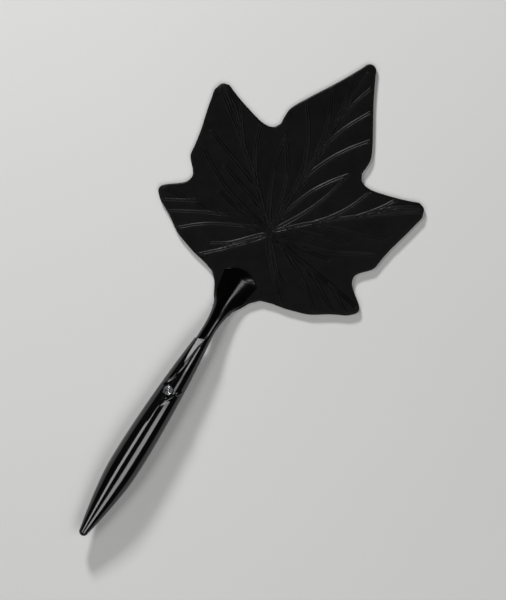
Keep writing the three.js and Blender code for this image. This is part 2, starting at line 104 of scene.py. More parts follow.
def resample_loop(loop, step):
    """Evenly spaced points on a smooth closed curve through a loop of points."""
    closed = np.vstack([loop[-1:], loop, loop[:2]])
    curve = catmull(closed, step / 4)
    length = np.concatenate([[0], np.cumsum(np.linalg.norm(np.diff(curve, axis=0), axis=1))])
    first = np.argmin(np.linalg.norm(curve - loop[0], axis=1))
    last = len(curve) - 1 - np.argmin(np.linalg.norm(curve[::-1] - loop[0], axis=1))
    count = int((length[last] - length[first]) / step)
    at = np.linspace(length[first], length[last], count, endpoint=False)
    return np.stack([np.interp(at, length, curve[:, i]) for i in (0, 1)], axis=1)


CHUNK = 4000  # points worked on at a time, to save memory


def nearest(points, line, closed=False):
    """Distance from each point to a polyline, and how far along it (0 to 1) the nearest place is."""
    a = line
    b = np.roll(line, -1, axis=0) if closed else line[1:]
    a = a if closed else line[:-1]
    ab = b - a
    long2 = np.maximum((ab**2).sum(1), 1e-12)
    distance = np.empty(len(points))
    along = np.empty(len(points))
    for start in range(0, len(points), CHUNK):
        chunk = slice(start, start + CHUNK)
        p = points[chunk]
        t = np.clip(((p[:, None] - a) * ab).sum(2) / long2, 0, 1)
        d = np.linalg.norm(p[:, None] - (a + ab * t[..., None]), axis=2)
        best = d.argmin(1)
        rows = np.arange(len(p))
        distance[chunk] = d[rows, best]
        along[chunk] = (best + t[rows, best]) / len(a)
    return distance, along


def inside(points, loop):
    """Whether each point is inside a closed loop."""
    x, y = points[:, 0], points[:, 1]
    result = np.zeros(len(points), bool)
    for (x0, y0), (x1, y1) in zip(loop, np.roll(loop, -1, axis=0)):
        if y0 != y1:
            crossing = (y0 > y) != (y1 > y)
            result ^= crossing & (x < (x1 - x0) * (y - y0) / (y1 - y0) + x0)
    return result


def normals_of(line, closed=False):
    """Unit vectors square to a line at each of its points."""
    if closed:
        tangent = np.roll(line, -1, axis=0) - np.roll(line, 1, axis=0)
    else:
        tangent = np.gradient(line, axis=0)
    tangent /= np.linalg.norm(tangent, axis=1)[:, None]
    return np.stack([-tangent[:, 1], tangent[:, 0]], axis=1)


# ---------------------------------------------------------------- meshes


def make_piece(name, vertices, faces, material, slot_name, stands_for, sharp=35):
    """A closed mesh piece from vertices in millimetres, which rides on the one body of the paddle."""
    mesh = bpy.data.meshes.new(name)
    mesh.from_pydata((np.asarray(vertices) * MM).tolist(), [], [list(map(int, f)) for f in faces])
    work = bmesh.new()
    work.from_mesh(mesh)
    bmesh.ops.remove_doubles(work, verts=work.verts, dist=2e-6)
    bmesh.ops.dissolve_degenerate(work, edges=work.edges, dist=1e-6)
    bmesh.ops.recalc_face_normals(work, faces=work.faces)
    work.to_mesh(mesh)
    work.free()
    mesh.shade_smooth()
    mesh.set_sharp_from_angle(angle=math.radians(sharp))
    mesh.materials.append(material)
    piece = bpy.data.objects.new(name, mesh)
    bpy.context.scene.collection.objects.link(piece)
    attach(piece, "root")
    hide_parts(*stands_for)
    return piece


def loft(rings):
    """Vertices and faces of a closed body through closed rings of equal count."""
    rings = [np.asarray(r, float) for r in rings]
    count = len(rings[0])
    faces = []
    for r in range(len(rings) - 1):
        for i in range(count):
            a, b = r * count + i, r * count + (i + 1) % count
            faces.append((a, b, b + count, a + count))
    vertices = np.vstack(rings + [rings[0].mean(0)[None], rings[-1].mean(0)[None]])
    first, last = len(vertices) - 2, len(vertices) - 1
    for i in range(count):
        j = (i + 1) % count
        faces.append((first, j, i))
        faces.append((last, (len(rings) - 1) * count + i, (len(rings) - 1) * count + j))
    return vertices, faces


def plane_loops(node, z):
    """Closed loops of the CAD node's edges round its faces in the plane at height z, longest first."""
    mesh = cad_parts[node].data
    uses = {}
    place = {}
    for polygon in mesh.polygons:
        corners = [mesh.vertices[v].co / MM for v in polygon.vertices]
        if any(abs(c.z - z) > 2e-3 for c in corners):
            continue
        keys = [(round(c.x, 3), round(c.y, 3)) for c in corners]
        for key, c in zip(keys, corners):
            place[key] = (c.x, c.y)
        for a, b in zip(keys, keys[1:] + keys[:1]):
            uses[frozenset((a, b))] = uses.get(frozenset((a, b)), 0) + 1
    links = {}
    for edge, count in uses.items():
        if count == 1 and len(edge) == 2:
            a, b = edge
            links.setdefault(a, []).append(b)
            links.setdefault(b, []).append(a)
    loops = []
    while links:
        start = next(iter(links))
        loop, here = [start], links.pop(start)[0]
        while here in links:
            loop.append(here)
            following = [k for k in links.pop(here) if k in links]
            if not following:
                break
            here = following[0]
        loops.append(np.array([place[k] for k in loop]))
    return sorted(loops, key=lambda l: -np.linalg.norm(l - np.roll(l, -1, axis=0), axis=1).sum())


# ---------------------------------------------------------------- materials


def new_material(name):
    """A new material, its nodes and links, and its shader."""
    material = bpy.data.materials.new(name)
    material.use_nodes = True
    nodes = material.node_tree.nodes
    return material, nodes, material.node_tree.links, nodes["Principled BSDF"]


def noise(nodes, links, scale, detail=3.0, rough=0.5, coords=None):
    texture = nodes.new("ShaderNodeTexNoise")
    texture.inputs["Scale"].default_value = scale
    texture.inputs["Detail"].default_value = detail
    texture.inputs["Roughness"].default_value = rough
    if coords is not None:
        links.new(coords, texture.inputs["Vector"])
    return texture.outputs["Fac"]


def spread(nodes, links, value, low, high, from_low=0.3, from_high=0.7):
    """The value, spread from one range to another."""
    ramp = nodes.new("ShaderNodeMapRange")
    ramp.inputs["From Min"].default_value = from_low
    ramp.inputs["From Max"].default_value = from_high
    ramp.inputs["To Min"].default_value = low
    ramp.inputs["To Max"].default_value = high
    links.new(value, ramp.inputs["Value"])
    return ramp.outputs["Result"]


def mix_colour(nodes, links, factor, low, high):
    mix = nodes.new("ShaderNodeMix")
    mix.data_type = "RGBA"
    links.new(factor, mix.inputs["Factor"])
    mix.inputs["A"].default_value = (*low, 1)
    mix.inputs["B"].default_value = (*high, 1)
    return mix.outputs["Result"]


def add_bump(nodes, links, shader, height, strength, distance, under=None):
    node = nodes.new("ShaderNodeBump")
    node.inputs["Strength"].default_value = strength
    node.inputs["Distance"].default_value = distance
    links.new(height, node.inputs["Height"])
    if under is not None:
        links.new(under, node.inputs["Normal"])
    links.new(node.outputs["Normal"], shader.inputs["Normal"])
    return node.outputs["Normal"]


def object_coords(nodes):
    return nodes.new("ShaderNodeTexCoord").outputs["Object"]


def rubber_material(name, dark, light):
    """Soft matt black skin with a fine pebble grain."""
    material, nodes, links, shader = new_material(name)
    coords = object_coords(nodes)
    cloud = noise(nodes, links, 60, 4, 0.6, coords)
    colour = mix_colour(nodes, links, spread(nodes, links, cloud, 0, 1), dark, light)
    links.new(colour, shader.inputs["Base Color"])
    blotch = noise(nodes, links, 180, 3, 0.6, coords)
    links.new(spread(nodes, links, blotch, 0.35, 0.43), shader.inputs["Roughness"])
    grain = nodes.new("ShaderNodeTexVoronoi")
    grain.feature = "SMOOTH_F1"
    grain.inputs["Scale"].default_value = 1900
    grain.inputs["Smoothness"].default_value = 0.6
    links.new(coords, grain.inputs["Vector"])
    coarse = add_bump(nodes, links, shader, grain.outputs["Distance"], 0.3, 0.00006)
    fine = noise(nodes, links, 5200, 2, 0.6, coords)
    add_bump(nodes, links, shader, fine, 0.2, 0.00002, coarse)
    shader.inputs["Specular IOR Level"].default_value = 0.06
    return material


GLOSS_DARK = (0.0005, 0.0005, 0.0006)
GLOSS_LIGHT = (0.001, 0.001, 0.0012)


def gloss_material(name, rough_low, rough_high):
    """Black plastic with a faint orange peel, smears and hair scratches."""
    material, nodes, links, shader = new_material(name)
    coords = object_coords(nodes)
    cloud = noise(nodes, links, 45, 3, 0.5, coords)
    colour = mix_colour(nodes, links, spread(nodes, links, cloud, 0, 1), GLOSS_DARK, GLOSS_LIGHT)
    links.new(colour, shader.inputs["Base Color"])
    stretched = nodes.new("ShaderNodeMapping")
    stretched.inputs["Scale"].default_value = (1, 0.16, 1)
    links.new(coords, stretched.inputs["Vector"])
    smear = noise(nodes, links, 150, 5, 0.65, stretched.outputs["Vector"])
    links.new(spread(nodes, links, smear, rough_low, rough_high, 0.35, 0.75), shader.inputs["Roughness"])
    peel = noise(nodes, links, 420, 2, 0.4, coords)
    first = add_bump(nodes, links, shader, peel, 0.06, 0.0002)
    scratch = noise(nodes, links, 2600, 2, 0.5, stretched.outputs["Vector"])
    add_bump(nodes, links, shader, scratch, 0.04, 0.00003, first)
    shader.inputs["Specular IOR Level"].default_value = 0.5
    return material


def satin_material(name, colour, metallic, rough_low, rough_high, grain_scale):
    """Satin plastic or metal with a fine grain."""
    material, nodes, links, shader = new_material(name)
    coords = object_coords(nodes)
    cloud = noise(nodes, links, 260, 3, 0.6, coords)
    dull = tuple(c * 0.72 for c in colour)
    mixed = mix_colour(nodes, links, spread(nodes, links, cloud, 0, 1), dull, colour)
    links.new(mixed, shader.inputs["Base Color"])
    brushed = nodes.new("ShaderNodeMapping")
    brushed.inputs["Scale"].default_value = (1, 0.08, 1)
    links.new(coords, brushed.inputs["Vector"])
    grain = noise(nodes, links, grain_scale, 3, 0.6, brushed.outputs["Vector"])
    links.new(spread(nodes, links, grain, rough_low, rough_high), shader.inputs["Roughness"])
    add_bump(nodes, links, shader, grain, 0.12, 0.00004)
    shader.inputs["Metallic"].default_value = metallic
    return material


RUBBER = rubber_material("leaf_rubber", (0.0009, 0.0009, 0.00095), (0.0017, 0.0017, 0.00175))
GLOSS = gloss_material("gloss_black", 0.06, 0.15)
NECK_GLOSS = gloss_material("neck_black", 0.16, 0.24)
STEEL = satin_material("bright_steel", (0.55, 0.56, 0.58), 1.0, 0.22, 0.4, 2200)
CORE = satin_material("core_sheet", (0.05, 0.05, 0.052), 0.0, 0.45, 0.6, 1500)
PLUG = satin_material("plug_plastic", (0.011, 0.011, 0.012), 0.0, 0.3, 0.45, 1500)
BADGE_METAL = satin_material("badge_metal", (0.12, 0.125, 0.13), 1.0, 0.3, 0.45, 2400)

# ---------------------------------------------------------------- leaf

# Veins of the right half, each from its inner end outwards. Those on the left half mirror them.
# Most start at the hub at (0, 49) or beside it.
MIDRIB = [(0, 49), (0, 80), (0, 110), (0, 140), (0, 164)]
VEINS = [
    # branches of the centre lobe
    [(0, 80), (2.4, 93), (7.5, 106), (14, 117.5), (23, 129.5)],
    [(0, 104), (2.4, 117), (6.5, 129.5), (14, 144.5)],
    [(0, 128), (2.4, 142), (6.5, 157)],
    # the two long veins that meet under the upper notch
    [(0, 50), (2, 64), (8, 82), (15, 94.5), (22.5, 104.5)],
    [(0.5, 50), (8, 62.5), (15.5, 78), (20, 92), (22.5, 104.5)],
    # side lobe
    [(0, 49), (21, 69), (45, 89), (72, 108.5)],
    [(21, 69), (27, 76.5), (34, 88), (40, 104)],
    [(41.5, 86), (49.5, 96.5), (56, 107.5)],
    [(52, 97), (60, 104), (71, 111)],
    [(9, 57.5), (20, 61.5), (33, 65.5), (44, 69)],
    [(20, 68), (31, 72), (46, 77), (63, 83)],
    # to the side notch
    [(0, 49), (15, 52), (28, 55.5), (42, 60.5), (61, 71)],
    [(0, 49), (15, 50.3), (26, 51.6), (39, 54)],
    # lower lobe
    [(0, 49), (20, 45), (48, 41.5), (69, 38)],
    [(10, 46.5), (30, 36.3), (40, 29.8), (49.5, 21.5)],
    [(28, 44), (43, 36.8), (60.5, 27)],
    [(49, 41.3), (58, 36), (66.5, 31.5)],
    # the two strands to the lower edge
    [(0, 48), (8, 40.2), (17, 31), (27, 24.5)],
    [(0, 47), (6.5, 38.5), (18.5, 25.5), (29.5, 15)],
]
VEIN_HALF_WIDTH = (1.55, 1.05)  # at the inner and the outer end
VEIN_CREST = (0.58, 0.27)  # place and width of the two crests, as parts of the half width
VEIN_MIDDLE = (0.3, 0.4)  # height and width of the floor of the groove between them
VEIN_FOOT = (0.16, 3.2)  # height and width of the soft swelling under the vein
VEIN_TAPER = 0.35  # a vein loses this part of its height by its outer end
VEIN_ROWS = (0, 0.35, 0.62, 0.9, 1.15, 1.45, 1.8, 2.5)
VEIN_REACH = 8.0
EDGE_ROUND = 0.9
RELIEF_FADE = (0.2, 2.2)  # the relief grows between these distances from the edge
SKIN_GAP = 0.02  # half the gap between the two skins
EDGE_ROWS = (0.09, 0.25, 0.5, 0.9, 1.5, 2.6)
EDGE_CLEAR = EDGE_ROWS[0] * 0.8  # no other point lies closer to the edge
POINT_GAP = 0.24  # closest that two points of a sheet may be
FILL_STEP = 1.9
FILL_ROW = FILL_STEP * 0.87  # rows of nearly equal-sided triangles
FILL_GAP = math.sqrt(1.1)  # closest that a filling point may be to the rows


def vein_lines():
    lines = [MIDRIB]
    for vein in VEINS:
        lines.append(vein)
        lines.append([(-x, y) for x, y in vein])
    return [catmull(line, 0.9) for line in lines]


VEIN_LINES = vein_lines()
LEAF_EDGE = resample_loop(plane_loops("leaf_front_skin", CORE_TOP)[0], 0.55)


def outward_normals(loop):
    """Unit vectors that point out of a closed loop."""
    side = normals_of(loop, True)
    return -side if inside(loop[:1] + side[:1] * 0.2, loop)[0] else side


def cell_of(point, gap):
    return int(point[0] // gap), int(point[1] // gap)


def crowded(point, cells, gap):
    """Whether a point in the cells, which are as wide as the gap, is closer than that to this one."""
    i, j = cell_of(point, gap)
    near = [q for di in (-1, 0, 1) for dj in (-1, 0, 1) for q in cells.get((i + di, j + dj), ())]
    return any((q[0] - point[0]) ** 2 + (q[1] - point[1]) ** 2 < gap * gap for q in near)


def thin_out(points, gap):
    """All the points, less those closer than the gap to an earlier one."""
    cells = {}
    kept = []
    for point in points.tolist():
        if not crowded(point, cells, gap):
            cells.setdefault(cell_of(point, gap), []).append(point)
            kept.append(point)
    return np.array(kept)


def clear_of(points, others, gap):
    """The points that are no closer than the gap to any of the others."""
    cells = {}
    for point in others.tolist():
        cells.setdefault(cell_of(point, gap), []).append(point)
    return np.array([point for point in points.tolist() if not crowded(point, cells, gap)])


def filling_grid(loop):
    """A grid of triangles over the loop's box."""
    low, high = loop.min(0), loop.max(0)
    xs = np.arange(low[0], high[0], FILL_STEP)
    ys = np.arange(low[1], high[1], FILL_ROW)
    return np.array([(x + (j % 2) * FILL_STEP / 2, y) for j, y in enumerate(ys) for x in xs])


def leaf_points(lines, edge_rows, extra_rows):
    """Points of a leaf-shaped sheet: rows beside its edge, rows beside each line, and a filling grid."""
    inwards = -outward_normals(LEAF_EDGE)
    rows = [LEAF_EDGE + inwards * d for d in edge_rows]
    for line in lines:
        side = normals_of(line)
        for d in VEIN_ROWS:
            for sign in (1, -1) if d else (1,):
                rows.append(line + side * d * sign)
    rows.extend(extra_rows)
    dense = thin_out(np.vstack(rows), POINT_GAP)
    points = np.vstack([dense, clear_of(filling_grid(LEAF_EDGE), dense, FILL_GAP)])
    distance, _ = nearest(points, LEAF_EDGE, True)
    return points[inside(points, LEAF_EDGE) & (distance > EDGE_CLEAR)]


def triangulate(points, loop):
    """Triangles inside the loop, through the loop's points and the others."""
    everything = np.vstack([loop, points])
    count = len(loop)
    edges = [(i, (i + 1) % count) for i in range(count)]
    result = delaunay_2d_cdt([Vector(p) for p in everything], edges, [], 1, 1e-5)
    return np.array([tuple(v) for v in result[0]]), result[2]


def vein_relief(points):
    """Height of the veins over the sheet: each is a soft ridge with two crests and a groove between them."""
    height = np.zeros(len(points))
    for line in VEIN_LINES:
        near = np.all((points > line.min(0) - VEIN_REACH) & (points < line.max(0) + VEIN_REACH), axis=1)
        distance, along = nearest(points[near], line)
        half = VEIN_HALF_WIDTH[0] + (VEIN_HALF_WIDTH[1] - VEIN_HALF_WIDTH[0]) * along
        u = distance / half
        shape = bump(u - VEIN_CREST[0], VEIN_CREST[1])
        shape += VEIN_MIDDLE[0] * bump(u, VEIN_MIDDLE[1])
        shape += VEIN_FOOT[0] * bump(distance, VEIN_FOOT[1])
        height[near] = np.maximum(height[near], shape * VEIN_HEIGHT * (1 - VEIN_TAPER * along))
    return height


SWELL = 0.05
RIPPLE = 0.03


def sheet_swell(points):
    """Slow rise and fall of a soft moulded sheet."""
    x, y = points[:, 0], points[:, 1]
    return SWELL * np.sin(x / 9.0 + 1.3) * np.sin(y / 11.0) + RIPPLE * np.sin((x - y) / 6.1)


def rolled_edge(distance):
    """How far the sheet's face has dropped at a distance from its round edge."""
    depth = np.clip(distance, 0, EDGE_ROUND)
    return EDGE_ROUND - np.sqrt(np.maximum(EDGE_ROUND**2 - (EDGE_ROUND - depth) ** 2, 0))


def leaf_sheet(name, node, points, relief, outer, inner, finish=None):
    """One skin of the leaf: its outer face has the relief and a rounded edge, its inner face is flat."""
    points, triangles = triangulate(points, LEAF_EDGE)
    distance, _ = nearest(points, LEAF_EDGE, True)
    outwards = 1 if outer > inner else -1
    fade = smoothstep(distance, *RELIEF_FADE)
    z = outer + outwards * (relief(points) * fade - rolled_edge(distance))
    if finish:
        z = finish(points, z)
    flat_points, flat_triangles = triangulate(np.empty((0, 2)), LEAF_EDGE)
    outer_side = np.column_stack([points, z])
    inner_side = np.column_stack([flat_points, np.full(len(flat_points), inner)])
    base = len(points)
    count = len(LEAF_EDGE)
    faces = [tuple(t) for t in triangles] + [tuple(base + i for i in t) for t in flat_triangles]
    faces += [(i, (i + 1) % count, base + (i + 1) % count, base + i) for i in range(count)]
    return make_piece(name, np.vstack([outer_side, inner_side]), faces, RUBBER, "leaf_skin", [node], sharp=60)


def front_relief(points):
    return vein_relief(points) + sheet_swell(points)


front_points = leaf_points(VEIN_LINES, EDGE_ROWS, ())
leaf_sheet("leaf_front_face", "leaf_front_skin", front_points, front_relief, LEAF_TOP, CORE_TOP + SKIN_GAP)

# The back face is plain: a groove runs beside its edge, and a window in it holds the clamp plate flush.
GROOVE_INSET = 3.2
GROOVE_WIDTH = 0.55
GROOVE_DEPTH = 0.28
GROOVE_ROWS = (-0.9, -0.5, -0.2, 0.2, 0.5, 0.9)
BACK_SWELL = 0.3  # the back swells this much as the front
BACK_SINK = 0.1  # the back face stays this far inside the CAD's, so that its swell doesn't reach the floor
WINDOW_GAP = 0.3
WINDOW_ROW = 0.25
PLATE_EDGE = resample_loop(plane_loops("yoke_back", 0)[0], 0.5)
WINDOW = PLATE_EDGE + outward_normals(PLATE_EDGE) * WINDOW_GAP


def back_relief(points):
    distance, _ = nearest(points, LEAF_EDGE, True)
    groove = GROOVE_DEPTH * bump(distance - GROOVE_INSET, GROOVE_WIDTH)
    return sheet_swell(points) * BACK_SWELL - BACK_SINK - groove


def back_window(points, z):
    """Cuts the window down to the core plate."""
    return np.where(inside(points, WINDOW), np.maximum(z, CLAMP_TOP), z)


back_edge_rows = EDGE_ROWS + tuple(GROOVE_INSET + row for row in GROOVE_ROWS)
window_rows = (WINDOW, WINDOW + outward_normals(WINDOW) * WINDOW_ROW)
back_points = leaf_points([], back_edge_rows, window_rows)
back_inner = CORE_TOP - SKIN_GAP
leaf_sheet("leaf_back_face", "leaf_back_skin", back_points, back_relief, 0.0, back_inner, back_window)

# ---------------------------------------------------------------- neck and tongue

SHOULDER_Y = -28.0
SHOULDER_SLOPE = 0.434
SHOULDER_FADE = 14  # the slant of the shoulder has gone this far up the neck
SEAM = 0.12
CRANK = (-30.0, -2.0)  # the neck comes down from the handle's axis to the leaf between these
TONGUE_END_Y = node_box("yoke_front")[1][1]
CORNER_Y = 15.8
ARCH_START_Y = -6
LEAF_ROOT_Y = SKIN_LOW[1]
NECK_HALF_WIDTH = [
    (-34, 4.4), (-28, 4.3), (-21, 4.15), (-15, 4.5), (-8, 5.7), (-2, 7.7), (3, 9.3), (9, 10.4), (24, 13.2),
]
NECK_RISE = [
    (-34, 4.4), (-28, 4.3), (-21, 4.15), (-15, 4.5), (-6, 5.35),
    (0, 5), (8, 4.2), (13, 3.75), (17, 3.15), (24, 0.2),
]
RIDGE_FROM = (-12.0, 2.0)  # the round neck turns into the ridge of the tongue between these
RIDGE_ROUNDING = 0.55
LIP = 0.3
LIP_SQUARENESS = 12
SPIGOT_RADIUS = 3.2
SPIGOT_END_Y = -47.5
SPIGOT_CHAMFER = 0.4
SPIGOT_ROOT_Y = -31.2
NECK_STEPS = 110
NECK_ANGLES = 65
ROUND = 0.4  # rounding of the moulded edges
END_ROUND = 0.5
SQUARE_FROM = (-15, -5)  # the back of the neck turns from round to square between these
SQUARENESS = 10
BACK_DEPTH = LEAF_TOP + 0.4  # the back reaches at least this far down, where it is cut off flat at 0
CLAMP_FROM_Y = LEAF_ROOT_Y - 0.3
RING_GAP = 0.02  # keeps two neighbouring rings of a mesh apart


def centre_z(y):
    return AXIS_Z + (LEAF_TOP - AXIS_Z) * smoothstep(y, *CRANK)


def crest(y, rise, angles):
    """Height of the neck's front over its centre line: a half ellipse, then a ridge on a thin lip."""
    across = np.cos(angles)
    fall = np.hypot(across, RIDGE_ROUNDING) - RIDGE_ROUNDING
    ridge = 1 - fall / (math.hypot(1, RIDGE_ROUNDING) - RIDGE_ROUNDING)
    lip = LIP * (1 - np.minimum(np.abs(across), 1) ** LIP_SQUARENESS) ** (1 / LIP_SQUARENESS)
    blend = smoothstep(y, *RIDGE_FROM)
    return (1 - blend) * rise * np.sin(angles) + blend * ((rise - LIP) * ridge + lip)


def neck_ring_y(y, x, half):
    """Bends a ring to the slanted shoulder at one end and to the arch of the tongue at the other."""
    slant = SHOULDER_SLOPE * x * (1 - smoothstep(y, SHOULDER_Y, SHOULDER_Y + SHOULDER_FADE))
    arch = (TONGUE_END_Y - CORNER_Y) * smoothstep(y, ARCH_START_Y, CORNER_Y) * (1 - (x / half) ** 2)
    return y + slant + arch


def neck_stations():
    """(y, inset) pairs: the shoulder's rounded corner, then the neck, closer together near its ends."""
    corner_angles = np.linspace(0, math.pi / 2, 6)
    corner = [(SHOULDER_Y + ROUND * (1 - math.cos(a)), ROUND * (1 - math.sin(a))) for a in corner_angles]
    start, end = SHOULDER_Y + ROUND, CORNER_Y - END_ROUND
    t = np.linspace(0, 1, NECK_STEPS)[1:]
    body = start + (end - start) * (t - 0.06 * np.sin(2 * np.pi * t))
    return corner + [(float(y), 0.0) for y in body]


def front_ring(y, inset, angles, tail=0.0):
    """A ring of the neck's front. The tail turns from 0 to a right angle round the tongue's end."""
    half = smooth_table(NECK_HALF_WIDTH, y) - inset
    x = half * np.cos(angles)
    ring_y = neck_ring_y(y, x, half)
    rise = smooth_table(NECK_RISE, ring_y) - inset
    z = centre_z(ring_y) + crest(ring_y, rise, angles) * math.cos(tail)
    return np.column_stack([x, ring_y + END_ROUND * math.sin(tail), z])


def spigot_rings(angles, sign, drop=0.0):
    """From the end of the spigot inside the handle up to the shoulder's face."""
    stations = [
        (SPIGOT_END_Y, SPIGOT_RADIUS - SPIGOT_CHAMFER),
        (SPIGOT_END_Y + SPIGOT_CHAMFER, SPIGOT_RADIUS),
        (SPIGOT_ROOT_Y, SPIGOT_RADIUS),
    ]
    rings = []
    for y, radius in stations:
        z = AXIS_Z - drop + sign * radius * np.sin(angles)
        rings.append(np.column_stack([radius * np.cos(angles), np.full(len(angles), y), z]))
    last = rings[-1].copy()
    last[:, 1] = SHOULDER_Y + SHOULDER_SLOPE * SPIGOT_RADIUS * np.cos(angles) + RING_GAP
    return rings + [last]


def yoke_front_piece():
    angles = np.linspace(0, math.pi, NECK_ANGLES)
    rings = spigot_rings(angles, 1)
    rings += [front_ring(y, inset, angles) for y, inset in neck_stations()]
    tails = np.linspace(0.12, math.pi / 2 - RING_GAP, 12)
    rings += [front_ring(CORNER_Y - END_ROUND, 0, angles, tail) for tail in tails]
    vertices, faces = loft(rings)
    return make_piece("neck_and_tongue_front", vertices, faces, NECK_GLOSS, "gloss_shell", ["yoke_front"])


def back_ring(y, inset, angles):
    """A ring of the neck's back, under the seam and, past the leaf's root, under the core plate."""
    half = smooth_table(NECK_HALF_WIDTH, y) - inset
    power = 2 + SQUARENESS * float(smoothstep(y, *SQUARE_FROM))
    across = np.cos(angles)
    ring_y = neck_ring_y(y, half * across, half)
    rise = smooth_table(NECK_RISE, ring_y) - inset
    depth = np.maximum(rise, BACK_DEPTH)
    profile = np.maximum(1 - np.abs(across) ** power, 0) ** (1 / power)
    middle = centre_z(ring_y)
    z = np.maximum(middle - depth * profile, inset * 0.8)
    top = np.where(ring_y > CLAMP_FROM_Y, CLAMP_TOP, middle - SEAM)
    return np.column_stack([half * across, ring_y, np.minimum(z, top)])


def yoke_back_piece():
    angles = np.linspace(0, math.pi, NECK_ANGLES)
    rings = spigot_rings(angles, -1, SEAM)
    rings += [back_ring(y, inset, angles) for y, inset in neck_stations()]
    for tail in np.linspace(0.2, math.pi / 2, 8):
        ring = back_ring(CORNER_Y - END_ROUND, 0, angles)
        ring[:, 1] += END_ROUND * math.sin(tail)
        ring[:, 2] = np.maximum(ring[:, 2], END_ROUND * (1 - math.cos(tail)))
        rings.append(ring)
    vertices, faces = loft(rings)
    return make_piece("neck_and_clamp_back", vertices, faces, NECK_GLOSS, "gloss_shell", ["yoke_back"])


neck_front = yoke_front_piece()
neck_back = yoke_back_piece()

# ---------------------------------------------------------------- handle

WALL = 2.0
SOLID_BUTT = 3 * WALL  # the hollow starts this far from the end
HOLLOW_TIP = 0.2  # and its tip has this part of its radius there
BUTT_RADIUS = 2.9
BORE = 3.5
BORE_END_Y = -37.0
HANDLE_RADIUS = [
    (-167.2, 2.85), (-160, 4.35), (-150, 6.2), (-140, 7.8), (-127, 9.3), (-113, 9.7),
    (-95, 9.4), (-75, 8.5), (-57, 7.4), (-42, 6.1), (-25, 4.4),
]
PLAIN_STEPS = 60
SCULPT_STEPS = 198
HANDLE_ANGLES = 109
SHOULDER_FROM_Y = -46  # the rings start to slant here

# A flat at the top of the handle, turned a little to the left, that runs out to a point.
FLAT_TURN = math.radians(-14)
FLAT_POINT_Y = -48.0
FLAT_SLOPE = 0.125

# A shallow band winds across the front between two creases, given as (y, angle from the top, to the right).
UPPER_CREASE = [
    (-25, 22), (-27.2, 18), (-30, 14), (-34, 2), (-41, -7),
    (-49, -12.7), (-54.5, -21), (-59.5, -33), (-63.5, -48), (-66.5, -80),
]
LOWER_CREASE = [
    (-58, 90), (-60.5, 72), (-63.5, 47), (-66.5, 27.6), (-69.5, 14),
    (-71.8, 3.5), (-74.5, -5.5), (-77.5, -11.4), (-82, -15), (-92, -16),
]
BAND_DEPTH = 0.3
CREASE_SOFTNESS = 0.75
UPPER_RIDGE = (0.2, 0.55)  # height and width
LOWER_RIDGE = (0.4, 0.9)

# Where along the handle each of these fades in and out
UPPER_STARTS, UPPER_WEAKENS = (-66, -60), (-52, -40)
UPPER_WEAKENING = 0.6
LOWER_STARTS, LOWER_ENDS = (-86, -72), (-66, -63)
BAND_STARTS = (-92, -78)
BAND_SIDES = (math.radians(55), math.radians(86))


def handle_radius(y):
    y = np.asarray(y, float)
    tip = BUTT_Y + BUTT_RADIUS
    ball = np.sqrt(np.maximum(BUTT_RADIUS**2 - (np.minimum(y, tip) - tip) ** 2, 0))
    return np.where(y < HANDLE_RADIUS[0][0], ball, smooth_table(HANDLE_RADIUS, y))


def crease_side(theta, y, radius, crease):
    """Signed distance over the surface from a crease, positive on its right."""
    line = catmull(crease, 1.0)
    line_mm = np.column_stack([np.radians(line[:, 1]) * handle_radius(line[:, 0]), line[:, 0]])
    unrolled = np.column_stack([(theta * radius).ravel(), y.ravel()])
    distance, _ = nearest(unrolled, line_mm)
    order = np.argsort(line[:, 0])
    at = np.interp(y.ravel(), line[order, 0], np.radians(line[order, 1]))
    return (distance * np.sign(theta.ravel() - at)).reshape(theta.shape)


def with_flat(theta, y, radius):
    """The radius, cut down to the flat."""
    reach = handle_radius(FLAT_POINT_Y) - FLAT_SLOPE * (y - FLAT_POINT_Y)
    limit = reach / np.maximum(np.cos(theta - FLAT_TURN), 0.2)
    return np.where(y > FLAT_POINT_Y, np.minimum(radius, limit), radius)


def handle_sculpt(theta, y, radius):
    """Radius of the front of the handle, with its flat, its winding band and the creases' fine ridges."""
    upper = crease_side(theta, y, radius, UPPER_CREASE)
    lower = crease_side(theta, y, radius, LOWER_CREASE)
    right_of_upper = smoothstep(upper, -CREASE_SOFTNESS, CREASE_SOFTNESS)
    left_of_lower = smoothstep(-lower, -CREASE_SOFTNESS, CREASE_SOFTNESS)
    band_fade = smoothstep(y, *BAND_STARTS) * (1 - smoothstep(np.abs(theta), *BAND_SIDES))
    upper_fade = smoothstep(y, *UPPER_STARTS) * (1 - smoothstep(y, *UPPER_WEAKENS) * UPPER_WEAKENING)
    lower_fade = smoothstep(y, *LOWER_STARTS) * (1 - smoothstep(y, *LOWER_ENDS))
    ridges = UPPER_RIDGE[0] * bump(upper, UPPER_RIDGE[1]) * upper_fade
    ridges = ridges + LOWER_RIDGE[0] * bump(lower, LOWER_RIDGE[1]) * lower_fade
    band = BAND_DEPTH * right_of_upper * left_of_lower * band_fade
    return with_flat(theta, y, radius) - band + ridges


SCULPT_START_Y = -94
STATION_GAP = 0.4  # between the last station of one part and the first of the next


def handle_stations():
    """Places along the handle, close together at the round butt and in the sculpted part."""
    tip = [BUTT_Y + BUTT_RADIUS * (1 - math.cos(a)) for a in np.linspace(0.06, 1.5, 12)]
    plain = np.linspace(tip[-1] + STATION_GAP, SCULPT_START_Y, PLAIN_STEPS)
    sculpted = np.linspace(SCULPT_START_Y + STATION_GAP, SHOULDER_Y - SEAM, SCULPT_STEPS)
    return np.concatenate([tip, plain, sculpted])


def shoulder_shift(y, x):
    """How far the slanted shoulder moves a place along the handle."""
    return SHOULDER_SLOPE * x * smoothstep(y, SHOULDER_FROM_Y, SHOULDER_Y)


